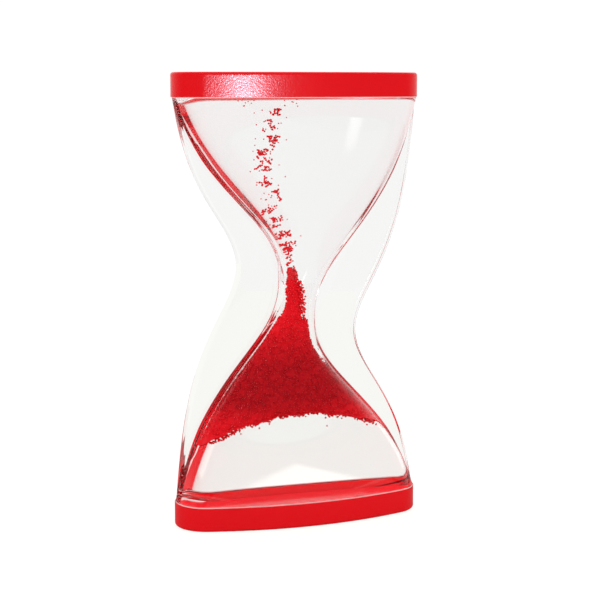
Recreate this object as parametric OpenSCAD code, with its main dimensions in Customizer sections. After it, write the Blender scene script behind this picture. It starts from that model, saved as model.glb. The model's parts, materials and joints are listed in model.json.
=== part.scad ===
// Liquid timer: two clear half shells welded at their middle plane form an hourglass chamber.
// The chamber holds a clear liquid with rising beads and is closed at each end by a plug,
// a gasket and a flat oval cap.
// Millimetres, Z up, X along the oval, the front faces -Y, origin under the middle of the base.

/* [Overall] */
// Height over both caps
overall_height = 150; // [135:1:170]
// Length of the oval caps
cap_length = 85.4; // [80:0.2:96]
// Depth of the oval caps
cap_depth = 32; // [30:0.5:40]

/* [Caps and closures] */
// Height of each cap
cap_height = 8; // [7.6:0.2:11]
// Thickness of the cap's side wall
cap_wall = 1.6; // [1.2:0.1:1.8]
// Thickness of the cap's flat plate
cap_plate = 2; // [1.6:0.1:2.4]
// Rounding of the cap's outer edge
cap_edge = 1; // [0.4:0.1:1.4]
// Thickness of the closure's flange
flange_thickness = 1.8; // [1.6:0.1:2.2]
// Thickness of the gasket ring
gasket_thickness = 0.8; // [0.6:0.1:1]
// Rise of the closure's plug above the gasket
plug_rise = 1; // [0.6:0.1:1.4]

/* [Body] */
// Wall of the clear half shells
wall = 2.4; // [2.1:0.1:3]
// Thickness of the clear side webs, both halves together
web_thickness = 5; // [4:0.2:7]
// Half width of the webs at their waist
web_waist = 20.7; // [17:0.1:26]
// How far one web's waist sits above mid height, and the other one's below it
web_shift = 11.5; // [0.5:0.5:14]
// Roundness of the web's waist
web_curve = 0.42; // [0.36:0.01:0.6]
// Half width of the chamber's neck
neck_half_width = 3.3; // [3:0.1:4]
// Half depth of the chamber's neck
neck_half_depth = 3.3; // [3:0.1:4]
// How far the neck's two sides sit above and below mid height
neck_shift = 6.5; // [0.5:0.5:8]
// Roundness of the chamber's neck
neck_curve = 0.57; // [0.5:0.01:0.66]

/* [Liquid and beads] */
// Film of liquid between the beads and the wall
bead_film = 0.6; // [0.5:0.1:1]
// Size of a bead
bead_size = 0.8; // [0.6:0.05:0.9]
// Gap between two beads of a clump
bead_gap = 0.06; // [0.04:0.01:0.12]
// Width of the tongue of beads in the neck
stream_width = 4.6; // [4:0.1:5.2]

/* [Clearances] */
// Step from the cap's outline to the body's outline
body_step = 0.3; // [0.1:0.05:0.5]
// Gap between a cap's wall and what goes inside it
cap_fit = 0.1; // [0.05:0.05:0.2]
// Gap between the plug and the mouth
plug_fit = 0.15; // [0.1:0.05:0.3]
// Gap between the liquid and the shells
liquid_gap = 0.1; // [0.05:0.05:0.2]
// Gap between the liquid and the bead pack
pack_gap = 0.15; // [0.1:0.05:0.25]
// Running gap between the liquid and the rising clumps
stream_gap = 0.35; // [0.3:0.05:0.5]
// Gap around the filling stopper
stopper_fit = 0.1; // [0.05:0.05:0.2]

/* [Hidden] */
$fn = 64;

// Levels of the base end; the top end is the base end turned over about Y
mid_z = overall_height / 2;
flange_z = cap_plate + flange_thickness;
mouth_z = flange_z + gasket_thickness;
floor_z = mouth_z + plug_rise;
span = mid_z - cap_height;

// Half sizes of the ovals, from the outside in
cap_a = cap_length / 2;
cap_b = cap_depth / 2;
spigot_inset = cap_wall + cap_fit;
mouth_inset = body_step + wall;
web_inset = 0.3;
spigot_lap = 1.5;
gasket_fit = 0.05;
mouth_a = cap_a - mouth_inset;
mouth_b = cap_b - mouth_inset;

// Powers of the waist curves; a higher one holds the waist longer and flares faster
neck_power = 2.4;
web_power = 2;

// Share of the half depth that rounds the oval's ends
end_share = 0.69;
tip_overlap = 0.03;

// Filling stopper
stopper_x = cap_a * 0.52;
stopper_hole = 5;
stopper_head = 8;
stopper_head_thickness = 1.2;

// Bead pack levels
pack_low_z = mid_z - 0.78 * span;
crown_z = mid_z - 0.565 * span;
throat_z = mid_z - 0.13 * span;
throat_rise = 2.5;
left_throat_z = mid_z - 0.15 * span;
left_throat_rise = 12;
tongue_z = mid_z + 0.22 * span;
tongue_foot_z = mid_z + 0.04 * span;
tongue_taper = 0.2;
tongue_tip = 1.5;
tongue_offset = 0.5;
tongue_drift = 2.4;
crown_radius = 62;
crown_x = -2;

// Rising stream: clumps of loose beads in bent arms, one above the other
clumps = 11;
arms = 3;
arm_beads = 3;
bead_pitch = bead_size + bead_gap;
clump_tilt = 24;
clump_curl = 9;
clump_jitter = 24;
clump_half_height = bead_pitch * arm_beads * sin(clump_tilt) + bead_size / 2;
ceiling_arms = 6;
ceiling_arm_beads = 4;
ceiling_reach = bead_pitch * ceiling_arm_beads + bead_size / 2;
stream_root = 2;
stream_root_radius = 1.4;
stream_start = 1.6;
stream_headroom = 4.6;
stream_step = 0.6;
stream_drift = 6.8;
stream_rise = 22;
stream_sways = [0, 0, -1.5, -2, 1.5, 0.1, -1.1, -2, 0.7, -1.1, 1.3];
ceiling_z = overall_height - floor_z;
clump_low_z = tongue_z + clump_half_height + stream_start;
clump_high_z = ceiling_z - bead_size - clump_half_height - stream_headroom;
clump_pitch = (clump_high_z - clump_low_z) / (clumps - 1);

// Outline functions

// Height as a share of the span, bent so that the waist sits at mid height plus shift
function bent(z, shift) =
    max(-1, min(1, (span - sqrt(span * span - 4 * shift * (z - mid_z - shift))) / (2 * shift)));

// Grows from 0 at the waist to 1 at the ends; a small k makes a tight waist
function pinch(u, k, power) =
    let(a = pow(abs(u), power), b = pow(k, power)) (1 + b) * a / (a + b);

function outline(z, shift, waist, end, k, power) =
    waist + (end - waist) * pinch(bent(z, shift), k, power);

function chamber_left(z) =
    -outline(z, neck_shift, neck_half_width, mouth_a, neck_curve, neck_power);
function chamber_right(z) =
    outline(z, -neck_shift, neck_half_width, mouth_a, neck_curve, neck_power);
function chamber_mid(z) = (chamber_right(z) + chamber_left(z)) / 2;
function chamber_half(z) = (chamber_right(z) - chamber_left(z)) / 2;
function chamber_depth(z) =
    neck_half_depth + (mouth_b - neck_half_depth)
    * pinch(max(-1, min(1, (z - mid_z) / span)), neck_curve, neck_power);

function smooth(t) = let(s = max(0, min(1, t))) s * s * (3 - 2 * s);

// Bead pack: fills the lower chamber, narrows at a shoulder on its right-hand side and at a slope
// on its left-hand side, and goes on as a tongue that leans to the left through the neck
function blend(a, b, t) = a + (b - a) * t;
function tongue_half(z) =
    max(tongue_tip, stream_width - 2 * tongue_taper * max(0, z - tongue_foot_z)) / 2;
function tongue_x(z) = max(
    -tongue_offset - tongue_drift * pow(max(0, z - mid_z) / (tongue_z - mid_z), 2),
    chamber_left(z) + bead_film + tongue_half(z)
);
function pack_left(z) = blend(
    chamber_left(z) + bead_film,
    tongue_x(z) - tongue_half(z),
    smooth((z - left_throat_z) / left_throat_rise)
);
function pack_right(z) = blend(
    chamber_right(z) - bead_film,
    tongue_x(z) + tongue_half(z),
    smooth((z - throat_z) / throat_rise)
);
function pack_mid(z) = (pack_left(z) + pack_right(z)) / 2;
function pack_half(z) = (pack_right(z) - pack_left(z)) / 2;
function pack_depth(z) = blend(
    chamber_depth(z) - bead_film,
    min(tongue_half(z), chamber_depth(z) - bead_film),
    smooth((z - left_throat_z) / left_throat_rise)
);

// Points of the four-arc oval, anticlockwise, starting on the right-hand end arc
tip_steps = 8;
side_steps = 12;
function side_radius(a, b, r) = ((a - r) * (a - r) + b * b - r * r) / (2 * (b - r));
function oval_points(a, b) =
    let(
        r = b * end_share,
        big = side_radius(a, b, r),
        drop = big - b,
        turn = atan2(drop, a - r)
    )
    concat(
        [for (i = [0:tip_steps - 1]) let(t = turn * (2 * i / tip_steps - 1))
            [a - r + r * cos(t), r * sin(t)]],
        [for (i = [0:side_steps - 1]) let(t = turn + (180 - 2 * turn) * i / side_steps)
            [big * cos(t), big * sin(t) - drop]],
        [for (i = [0:tip_steps - 1]) let(t = 180 + turn * (2 * i / tip_steps - 1))
            [r - a + r * cos(t), r * sin(t)]],
        [for (i = [0:side_steps - 1]) let(t = 180 + turn + (180 - 2 * turn) * i / side_steps)
            [big * cos(t), big * sin(t) + drop]]
    );
mouth_points = oval_points(mouth_a, mouth_b);

// A section ring: the mouth's oval moved to x and stretched to the half sizes given
function ring(x, half, depth, z) =
    [for (p = mouth_points) [x + p[0] * half / mouth_a, p[1] * depth / mouth_b, z]];
function chamber_ring(z, grow) =
    ring(chamber_mid(z), chamber_half(z) + grow, chamber_depth(z) + grow, z);
function pack_ring(z, grow) = ring(pack_mid(z), pack_half(z) + grow, pack_depth(z) + grow, z);

// Heights of the chamber's rings, closer together near the neck
ring_steps = 26;
function spread(u) = u * (0.55 + 0.45 * u * u);
chamber_levels = [for (i = [0:ring_steps]) mid_z + span * spread(2 * i / ring_steps - 1)];

// Shared shapes

module skin(rings) {
    n = len(rings[0]);
    m = len(rings);
    polyhedron(
        points = [for (r = rings) each r],
        faces = concat(
            [[for (i = [0:n - 1]) i]],
            [[for (i = [n - 1:-1:0]) (m - 1) * n + i]],
            [for (k = [0:m - 2]) for (i = [0:n - 1])
                [k * n + i, (k + 1) * n + i, (k + 1) * n + (i + 1) % n]],
            [for (k = [0:m - 2]) for (i = [0:n - 1])
                [k * n + i, (k + 1) * n + (i + 1) % n, k * n + (i + 1) % n]]
        )
    );
}

// Flat oval of exact arcs; the end circles are a touch larger than tangent,
// so that they cross the side arcs instead of grazing them
module oval(a, b) {
    r = b * end_share;
    big = side_radius(a, b, r);
    reach = (a - r) * big / (big - r);
    intersection() {
        translate([0, b - big]) circle(r = big, $fn = 256);
        translate([0, big - b]) circle(r = big, $fn = 256);
        square([2 * reach, 4 * b], center = true);
    }
    for (s = [-1, 1]) translate([s * (a - r - tip_overlap), 0]) circle(r = r + tip_overlap, $fn = 128);
}

// Round plate with a rounded lower edge
module puck(r, h, edge) {
    rotate_extrude($fn = 256) {
        square([r - edge, h]);
        translate([0, edge]) square([r, h - edge]);
        intersection() {
            translate([r - edge, edge]) circle(r = edge, $fn = 48);
            square([r, edge]);
        }
    }
}

// Oval plate with a rounded lower edge, its end plates larger in the same way
module soft_oval(a, b, h, edge) {
    r = b * end_share;
    big = side_radius(a, b, r);
    reach = (a - r) * big / (big - r);
    intersection() {
        translate([0, b - big, 0]) puck(big, h, edge);
        translate([0, big - b, 0]) puck(big, h, edge);
        translate([-reach, -2 * b, -1]) cube([2 * reach, 4 * b, h + 2]);
    }
    for (s = [-1, 1]) translate([s * (a - r - tip_overlap), 0, 0]) puck(r + tip_overlap, h, edge);
}

// Turns a base piece over to the top end
module turned_over() {
    translate([0, 0, overall_height]) rotate([0, 180, 0]) children();
}

// Solid hourglass of the chamber's outline, grown all round, between the caps
module hourglass(grow) {
    skin([for (z = chamber_levels) chamber_ring(z, grow)]);
}

// The same with straight mouths that run down to the level given
module filled_chamber(grow, low) {
    skin(concat(
        [chamber_ring(low, grow)],
        [for (z = chamber_levels) chamber_ring(z, grow)],
        [chamber_ring(overall_height - low, grow)]
    ));
}

// Side webs, a flat plate with its own waists
module webs() {
    end = cap_a - body_step - web_inset;
    left = [for (z = chamber_levels)
        [-outline(z, web_shift, web_waist, end, web_curve, web_power), z]];
    right = [for (i = [ring_steps:-1:0]) let(z = chamber_levels[i])
        [outline(z, -web_shift, web_waist, end, web_curve, web_power), z]];
    translate([0, web_thickness / 2, 0]) rotate([90, 0, 0])
        linear_extrude(height = web_thickness) polygon(concat(left, right));
}

module spigot() {
    translate([0, 0, mouth_z])
        linear_extrude(height = cap_height - mouth_z + spigot_lap)
            oval(cap_a - spigot_inset, cap_b - spigot_inset);
}

module body() {
    difference() {
        union() {
            webs();
            hourglass(wall);
            spigot();
            turned_over() spigot();
        }
        filled_chamber(0, mouth_z - 1);
    }
}

// Keeps the half of the body on one side of the welding plane
module half_body(side) {
    intersection() {
        body();
        translate([-cap_length, side < 0 ? -cap_depth : 0, 0])
            cube([2 * cap_length, cap_depth, overall_height]);
    }
}

module cap() {
    difference() {
        soft_oval(cap_a, cap_b, cap_height, cap_edge);
        translate([0, 0, cap_plate])
            linear_extrude(height = cap_height) oval(cap_a - cap_wall, cap_b - cap_wall);
    }
}

module closure() {
    difference() {
        union() {
            translate([0, 0, cap_plate]) linear_extrude(height = flange_thickness)
                oval(cap_a - spigot_inset, cap_b - spigot_inset);
            translate([0, 0, cap_plate]) linear_extrude(height = floor_z - cap_plate)
                oval(mouth_a - plug_fit, mouth_b - plug_fit);
        }
        translate([stopper_x, 0, cap_plate - 1]) cylinder(d = stopper_hole, h = floor_z);
        translate([stopper_x, 0, cap_plate - 1])
            cylinder(d = stopper_head, h = stopper_head_thickness + 1);
    }
}

module gasket() {
    translate([0, 0, flange_z]) linear_extrude(height = gasket_thickness) difference() {
        oval(cap_a - spigot_inset - gasket_fit, cap_b - spigot_inset - gasket_fit);
        oval(mouth_a, mouth_b);
    }
}

module fill_plug() {
    translate([stopper_x, 0, cap_plate]) {
        cylinder(d = stopper_head - 2 * stopper_fit, h = stopper_head_thickness);
        cylinder(d = stopper_hole - 2 * stopper_fit, h = floor_z - cap_plate);
    }
}

pack_levels = [for (i = [0:22]) pack_low_z + (tongue_z - pack_low_z) * i / 22];

module pack(grow) {
    difference() {
        skin([for (i = [0:22]) let(z = pack_levels[i] + (i == 0 ? -grow : i == 22 ? grow : 0))
            pack_ring(z, grow)]);
        translate([crown_x, 0, crown_z - crown_radius - grow]) rotate([90, 0, 0])
            cylinder(r = crown_radius, h = 2 * cap_depth, center = true, $fn = 360);
    }
}

// Room for the rising stream: an upright channel for each clump from its place to the ceiling,
// and a narrow root that joins the first of them to the pack's tongue
module stream_room() {
    for (i = [0:clumps - 1])
        translate([clump_x(i), 0, clump_low(i)])
            cylinder(r = clump_reach(i) + stream_gap, h = ceiling_z - clump_low(i) + 2, $fn = 48);
    translate([clump_x(clumps - 1), 0, ceiling_z - bead_size - stream_gap])
        cylinder(r = ceiling_reach + stream_gap, h = bead_size + 2, $fn = 48);
    translate([tongue_x(tongue_z), 0, tongue_z - stream_root])
        cylinder(r = stream_root_radius, h = clump_low_z - tongue_z + stream_root, $fn = 24);
}

// Loose beads: one in the middle and bent arms of them around it
module beads(count_arms, count_beads, tilt, jitter, seed) {
    turns = rands(-jitter, jitter, count_arms, seed);
    tilts = rands(-tilt, tilt, count_arms, seed + 40);
    sphere(d = bead_size, $fn = 24);
    for (k = [0:count_arms - 1]) for (j = [1:count_beads])
        rotate([0, 0, 360 * k / count_arms + turns[k] + clump_curl * j])
            rotate([0, tilts[k], 0])
                translate([bead_pitch * j, 0, 0]) sphere(d = bead_size, $fn = 24);
}

// The stream drifts to the left as it leaves the neck, and its clumps keep clear of the wall
function stream_x(z) =
    tongue_x(tongue_z) - stream_step - stream_drift * smooth((z - tongue_z) / stream_rise);
function clump_z(i) = clump_low_z + clump_pitch * i;
function clump_beads(i) = min(arm_beads, 1 + ceil(i / 2));
function clump_reach(i) = bead_pitch * clump_beads(i) + bead_size / 2;
function clump_low(i) = clump_z(i) - clump_half_height - stream_gap;
function clump_x(i) = max(
    stream_x(clump_z(i)) + stream_sways[i],
    chamber_left(clump_low(i)) + bead_film + clump_reach(i) + stream_gap
);

module clump(i) {
    translate([clump_x(i), 0, clump_z(i)]) rotate([0, 0, 180 + 17 * i])
        beads(arms, clump_beads(i), clump_tilt, clump_jitter, 31 + i);
}

// The sub-parts

module front_shell() color([0.95, 0.96, 0.97, 0.4]) half_body(-1);

module rear_shell() color([0.93, 0.94, 0.95, 0.4]) half_body(1);

module top_cap() color("crimson") turned_over() cap();

module base_cap() color("crimson") cap();

module top_closure() color("firebrick") turned_over() closure();

module base_closure() color("firebrick") closure();

module top_gasket() color("silver") turned_over() gasket();

module base_gasket() color("silver") gasket();

module top_fill_plug() color("indianred") turned_over() fill_plug();

module base_fill_plug() color("indianred") fill_plug();

module liquid() color([0.85, 0.9, 0.95, 0.3]) difference() {
    filled_chamber(-liquid_gap, floor_z);
    pack(pack_gap);
    stream_room();
}

module bead_pack() color("red") pack(0);

module bead_clump_1() color("red") clump(0);

module bead_clump_2() color("red") clump(1);

module bead_clump_3() color("red") clump(2);

module bead_clump_4() color("red") clump(3);

module bead_clump_5() color("red") clump(4);

module bead_clump_6() color("red") clump(5);

module bead_clump_7() color("red") clump(6);

module bead_clump_8() color("red") clump(7);

module bead_clump_9() color("red") clump(8);

module bead_clump_10() color("red") clump(9);

module bead_clump_11() color("red") clump(10);

module ceiling_beads() color("red")
    translate([clump_x(clumps - 1), 0, ceiling_z - bead_size / 2])
        beads(ceiling_arms, ceiling_arm_beads, 0, 0, 8);

front_shell();
rear_shell();
top_cap();
base_cap();
top_closure();
base_closure();
top_gasket();
base_gasket();
top_fill_plug();
base_fill_plug();
liquid();
bead_pack();
bead_clump_1();
bead_clump_2();
bead_clump_3();
bead_clump_4();
bead_clump_5();
bead_clump_6();
bead_clump_7();
bead_clump_8();
bead_clump_9();
bead_clump_10();
bead_clump_11();
ceiling_beads();
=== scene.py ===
"""Looks of the liquid timer: clear body, liquid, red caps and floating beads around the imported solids."""

import json
import math
import random

import bmesh
import bpy
from mathutils import Matrix, Vector


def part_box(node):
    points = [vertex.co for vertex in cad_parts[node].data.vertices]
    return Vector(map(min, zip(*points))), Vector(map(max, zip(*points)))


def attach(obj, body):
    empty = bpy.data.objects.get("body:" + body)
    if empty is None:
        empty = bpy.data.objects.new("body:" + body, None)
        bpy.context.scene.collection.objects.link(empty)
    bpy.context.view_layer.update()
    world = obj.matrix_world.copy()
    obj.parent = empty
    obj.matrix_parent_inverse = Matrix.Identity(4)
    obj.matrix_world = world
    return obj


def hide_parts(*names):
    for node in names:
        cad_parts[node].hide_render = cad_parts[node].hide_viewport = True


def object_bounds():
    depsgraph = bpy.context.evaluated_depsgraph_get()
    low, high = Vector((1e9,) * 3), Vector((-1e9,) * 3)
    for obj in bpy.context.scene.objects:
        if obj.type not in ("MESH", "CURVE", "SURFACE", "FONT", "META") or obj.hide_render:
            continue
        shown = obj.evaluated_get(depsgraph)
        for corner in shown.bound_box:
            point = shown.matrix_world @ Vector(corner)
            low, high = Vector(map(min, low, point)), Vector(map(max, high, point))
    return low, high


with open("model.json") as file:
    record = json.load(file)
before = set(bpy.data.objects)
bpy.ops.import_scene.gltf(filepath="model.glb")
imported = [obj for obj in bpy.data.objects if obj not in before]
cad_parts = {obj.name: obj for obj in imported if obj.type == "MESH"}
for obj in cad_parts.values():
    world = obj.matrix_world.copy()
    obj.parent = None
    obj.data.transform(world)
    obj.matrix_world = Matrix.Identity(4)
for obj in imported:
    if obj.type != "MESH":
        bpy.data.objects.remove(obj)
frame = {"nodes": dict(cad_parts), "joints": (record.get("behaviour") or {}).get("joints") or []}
cad_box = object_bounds()

bl_info = {
    "name": "Liquid timer",
    "version": (1, 0, 0),
    "blender": (4, 5, 0),
    "location": "View3D > Sidebar > Timer",
    "description": "Builds the visible pieces of a liquid timer with floating beads",
    "category": "Object",
}

MM = 0.001

# Beads in each clump from the neck upwards, as ragged as the stream is there, and single beads around each
CLUMP_BEADS = (40, 34, 24, 14, 13, 22, 26, 38, 30, 16, 18)
CLUMP_STRAYS = 10
# Farthest that a clump's arms go from its middle, across, in depth and in height
CLUMP_REACH = Vector((2.9, 1.6, 2.0)) * MM
# How widely the roots of the arms and the single beads spread, in millimetres, in the same order
ROOT_SPREAD = 1.1, 0.6, 1.9
STRAY_SPREAD = 2.6, 2.0, 1.5
# An arm's most beads, their spacing in diameters, and how far it bends and slants from bead to bead
ARM_BEADS = 4
ARM_PITCH = 0.85
ARM_BEND = 1.2
ARM_SLANT = 0.4
# Beads vary between these shares of their diameter
SMALLEST_BEAD = 0.86
LARGEST_BEAD = 1.08
# How far beads sit inside the pack's outline, from least to most, in millimetres: on its sides, along the
# arch's edge, on the tongue, and on the tongue's loose right-hand side
SIDE_DEPTH = 0.1, 0.35
EDGE_DEPTH = 0.2, 0.9
TONGUE_DEPTH = 0.2, 0.4
LOOSE_DEPTH = -0.5, 0.9
# How far the tongue's beads go past the top of its solid core
CORE_OVERLAP = 0.5 * MM
# How far beads hang below the arch's edge, from least to most, in millimetres
EDGE_HANG = -0.5, 0.55
# Rounds in which a bead on the arch's edge finds its level
EDGE_ROUNDS = 4
# Beads under the arch hang from this far above it, by this much on the mean
ARCH_SINK = 0.35 * MM
ARCH_HANG = 0.4 * MM
# How widely the loose chain above the tongue spreads, across and in depth, in millimetres
CHAIN_SPREAD = 0.8, 0.6
# Levels of the two layers under the closure, in diameters, and the share of beads in the first
LAYERS = 0.55, 1.0
FIRST_LAYER = 0.7
# Single beads under the closure: reach across and in depth, in radii of the raft, and drop in millimetres
SINGLE_ACROSS = -3.4, 2.4
SINGLE_DEEP = -0.6, 0.6
SINGLE_DROP = 2.4, 5.2
# Waves in the arch under the pack: length in millimetres, share of the height, and phase
WAVES = (1.9, 1.0, 0.0), (0.83, 0.7, 1.0)
# Length over which the dense core leaves the arch towards its loose ends
LIFT_RUN = 8 * MM
# Seeds of the random draws
PACK_SEED = 4
TONGUE_SEED = 9
CEILING_SEED = 77
CLUMP_SEED = 100
TURN_SEED = 200

# Further materials of the clear body: the chamber's wall where the liquid wets it, the webs' thin edges,
# and the ends where the body is cemented into the caps, painted pale as the highlight line along each rim
WET_FACE = 1
EDGE_FACE = 2
RIM_HIGHLIGHT_FACE = 3

# Web width at which its junction with the bulge has its full softness, and the least share of that
FULL_WEB = 6 * MM
LEAST_SOFTNESS = 0.02
# Least web width left beside the bulge
LEAST_WEB = 0.1 * MM
# Columns in a quarter of the body's outline: along the web's edge, its flat face and the bulge
EDGE_STEPS = 4
FLAT_STEPS = 8
BULGE_STEPS = 16
QUARTER = EDGE_STEPS + FLAT_STEPS + BULGE_STEPS
COLUMNS = 4 * QUARTER
# Rings of the body, of the pack's core and of the core's underside, and how the body's are spread
RING_STEPS = 96
PACK_RING_STEPS = 60
CORE_STEPS = 14
RING_SPREAD = 0.55, 0.45
# Halvings of the search for a crossing
HALVINGS = 30

CAMERA_PLACE = Vector((-0.1837, -0.4945, 0.14585))
CAMERA_TURN = 0.358
CAMERA_PITCH = 0.135
CAMERA_LENS = 95.0
FLOOR_RADIUS = 0.6
FLOOR_DROP = 0.0002
# Middle, half axes and turn of a painted pool of light on the floor, seen only through the clear body: a
# pointed spot that stands for the light the body throws there as a lens does
PAINTED_POOL_PLACE = Vector((14, 30, 0)) * MM
PAINTED_POOL_SIZE = Vector((20, 27, 1000)) * MM
PAINTED_POOL_TURN = math.radians(-10)
# The two dim lamps inside the chamber: distance from the caps' outer faces, size and power
GLOW_LEVEL = 14 * MM
GLOW_SIZE = 0.07, 0.014
GLOW_POWER = 0.006
# Half length of the stretch of the upper cap that mirrors its lamp, fully and at all
MIRROR_FULL = 33 * MM
MIRROR_END = 38 * MM
MIRROR_TINT = 0.95, 0.84, 1.0


# Colours


def linear(code):
    """Linear RGBA of an sRGB hex colour."""
    channels = [int(code[i:i + 2], 16) / 255 for i in (1, 3, 5)]
    straight = [c / 12.92 if c <= 0.04045 else ((c + 0.055) / 1.055) ** 2.4 for c in channels]
    return (*straight, 1.0)


# Properties


def length(name, description, millimetres):
    """A length property; its default is given in millimetres."""
    return bpy.props.FloatProperty(
        name=name, description=description, default=millimetres * MM, precision=5,
        unit="LENGTH", subtype="DISTANCE",
    )


def colour(name, description, code):
    """A colour property; its default is given as an sRGB hex value."""
    return bpy.props.FloatVectorProperty(
        name=name, description=description, default=linear(code), size=4, min=0.0, max=1.0,
        subtype="COLOR",
    )


def share(name, description, value):
    """A plain factor."""
    return bpy.props.FloatProperty(name=name, description=description, default=value, subtype="FACTOR")


def count(name, description, value):
    """A number of beads."""
    return bpy.props.IntProperty(name=name, description=description, default=value, min=0)


cap_low, cap_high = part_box("base_cap")
cap_size = (cap_high - cap_low) / MM
object_height = (cad_box[1].z - cad_box[0].z) / MM


class TimerSizes(bpy.types.PropertyGroup):
    """Lengths of the clear body and of what is inside it."""

    overall_height: length("Overall height", "Height over both caps", object_height)
    cap_length: length("Cap length", "Length of the oval caps", cap_size.x)
    cap_depth: length("Cap depth", "Depth of the oval caps", cap_size.y)
    cap_height: length("Cap height", "Height of each cap", cap_size.z)
    end_share: share("End share", "Share of the half depth that rounds the oval's ends", 0.69)
    mouth_level: length("Mouth level", "Height of the clear body's lower rim", 4.6)
    floor_level: length("Floor level", "Height of the closure's face inside the chamber", 5.6)
    body_step: length("Body step", "Step from the cap's outline to the body's outline", 0.3)
    spigot_inset: length("Spigot inset", "From the cap's outline to the spigot inside it", 1.7)
    wall: length("Wall", "Thickness of the chamber's wall", 2.4)
    neck_half_width: length("Neck half width", "Half width of the chamber's neck", 3.3)
    neck_half_depth: length("Neck half depth", "Half depth of the chamber's neck", 3.3)
    neck_shift: length("Neck shift", "How far the neck's sides sit above and below mid height", 6.5)
    neck_curve: share("Neck curve", "Roundness of the chamber's neck", 0.57)
    neck_power: share("Neck power", "How long the chamber holds its neck before it flares", 2.4)
    web_thickness: length("Web thickness", "Thickness of the flat side webs", 5.0)
    web_waist: length("Web waist", "Half width of the webs at their waist", 20.7)
    web_shift: length("Web shift", "How far the web waists sit above and below mid height", 11.5)
    web_inset: length("Web inset", "From the body's outline to the web's ends", 0.3)
    web_curve: share("Web curve", "Roundness of the web's waist", 0.42)
    web_power: share("Web power", "How long the web holds its waist before it flares", 2.0)
    web_edge: length("Web edge", "Rounding of the web's outer edges", 0.7)
    junction: length("Junction", "Softness of the line where a web meets the bulge", 1.6)
    # Height of the band that is painted pale as the highlight line along each cap's rim
    rim_highlight_line: length("Cement line", "Height of the milky line where the body enters a cap", 0.35)
    liquid_gap: length("Liquid gap", "Hair gap between the liquid and the wall it wets", 0.05)


class BeadSizes(bpy.types.PropertyGroup):
    """Sizes and numbers of the beads."""

    bead: length("Bead", "Diameter of a bead in the pack", 0.7)
    stream_bead: length("Stream bead", "Diameter of a bead in the stream", 0.76)
    stray_bead: length("Stray bead", "Diameter of a single bead beside the stream", 0.5)
    film: length("Film", "Liquid between the pack and the wall", 0.35)
    pack_low: length("Pack low", "Lowest level of the pack", 22.74)
    crown: length("Crown", "Height of the arch under the pack", 37.15)
    crown_radius: length("Crown radius", "Radius of the arch under the pack", 62.0)
    left_crown_radius: length("Left crown radius", "Radius of the arch to the left of its middle", 52.0)
    crown_x: length("Crown x", "Middle of the arch under the pack", -2.0)
    unevenness: length("Unevenness", "Height of the waves in the arch under the pack", 0.3)
    end_lift: length("End lift", "How far the dense core stays above the arch's two ends", 1.4)
    end_start: length("End start", "From the arch's middle to where its loose ends begin", 17.0)
    loose_side: length("Loose side", "Width of the loose beads on the tongue's right-hand side", 0.7)
    throat: length("Throat", "Level of the pack's shoulder on the right-hand side", 66.29)
    throat_rise: length("Throat rise", "Height over which the shoulder narrows", 2.5)
    left_throat: length("Left throat", "Level where the pack leaves the left-hand wall", 64.95)
    left_throat_rise: length("Left throat rise", "Height over which the left-hand side narrows", 12.0)
    tongue_top: length("Tongue top", "Top of the tongue in the neck", 89.74)
    core_top: length("Core top", "Level where the solid tongue ends in a loose chain", 85.0)
    tongue_foot: length("Tongue foot", "Level above which the tongue tapers", 77.68)
    tongue_half: length("Tongue half", "Half width of the tongue at its foot", 2.5)
    tongue_tip: length("Tongue tip", "Half width of the tongue at its top", 0.75)
    tongue_taper: share("Tongue taper", "Loss of half width for each unit of height", 0.2)
    tongue_offset: length("Tongue offset", "How far left the tongue sits at mid height", 0.75)
    tongue_drift: length("Tongue drift", "How far left the tongue's top leans", 2.4)
    side_beads: count("Side beads", "Beads on the pack's sides", 3800)
    arch_beads: count("Arch beads", "Beads on the arch under the pack", 2200)
    edge_beads: count("Edge beads", "Beads along the arch's front and back edges", 420)
    tongue_beads: count("Tongue beads", "Beads on and beside the tongue", 900)
    loose_beads: count("Loose beads", "Beads of the loose chain above the tongue", 34)
    ceiling_beads: count("Ceiling beads", "Beads that lie under the upper closure", 150)
    stray_beads: count("Stray beads", "Single beads under the upper closure", 18)


class TimerColours(bpy.types.PropertyGroup):
    """Colours of the timer's materials and of the stage."""

    cap: colour("Cap", "Red of the caps", "#DE0E17")
    cap_dark: colour("Cap dark", "Deeper red in the caps' flow marks", "#D40B14")
    closure: colour("Closure", "Red of the closures", "#F01824")
    closure_dark: colour("Closure dark", "Deeper red of the closures", "#DE121D")
    stopper: colour("Stopper", "Red of the filling stoppers", "#E6161F")
    stopper_dark: colour("Stopper dark", "Deeper red of the filling stoppers", "#DA121C")
    # The beads' red goes between these two by height: the first as painted light at the pack's neck and
    # arch, the second as painted shade in its middle
    bead: colour("Bead", "Red of beads in a thin layer", "#E61521")
    bead_painted_shade: colour("Bead dark", "Red of beads in the thick of the pack", "#B00E18")
    gasket: colour("Gasket", "Red of the gaskets", "#EA1A24")
    gasket_dark: colour("Gasket dark", "Deeper red of the gaskets", "#DC141E")
    clear: colour("Clear", "Tint of the clear plastic", "#FFFFFE")
    clear_dark: colour("Clear dark", "Tint in the plastic's flow marks", "#FDFDFC")
    # Painted highlight: the pale band along each cap's rim, and its redder parts that take some of the cap's
    # red
    rim_highlight: colour("Cement", "Milky line where the body is cemented into a cap", "#FFE4E2")
    rim_highlight_dark: colour("Cement dark", "Redder parts of the milky line", "#F4B4B2")
    liquid: colour("Liquid", "Tint of the liquid", "#FDFDFE")
    liquid_dark: colour("Liquid dark", "Tint of the liquid's streaks", "#FBFBFC")
    floor: colour("Floor", "Floor and backdrop", "#F4F4F4")
    backlight: colour("Backlight", "White that the floor shows through the clear body", "#FFFFFC")


# Outlines of the chamber, the webs and the bead pack


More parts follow.
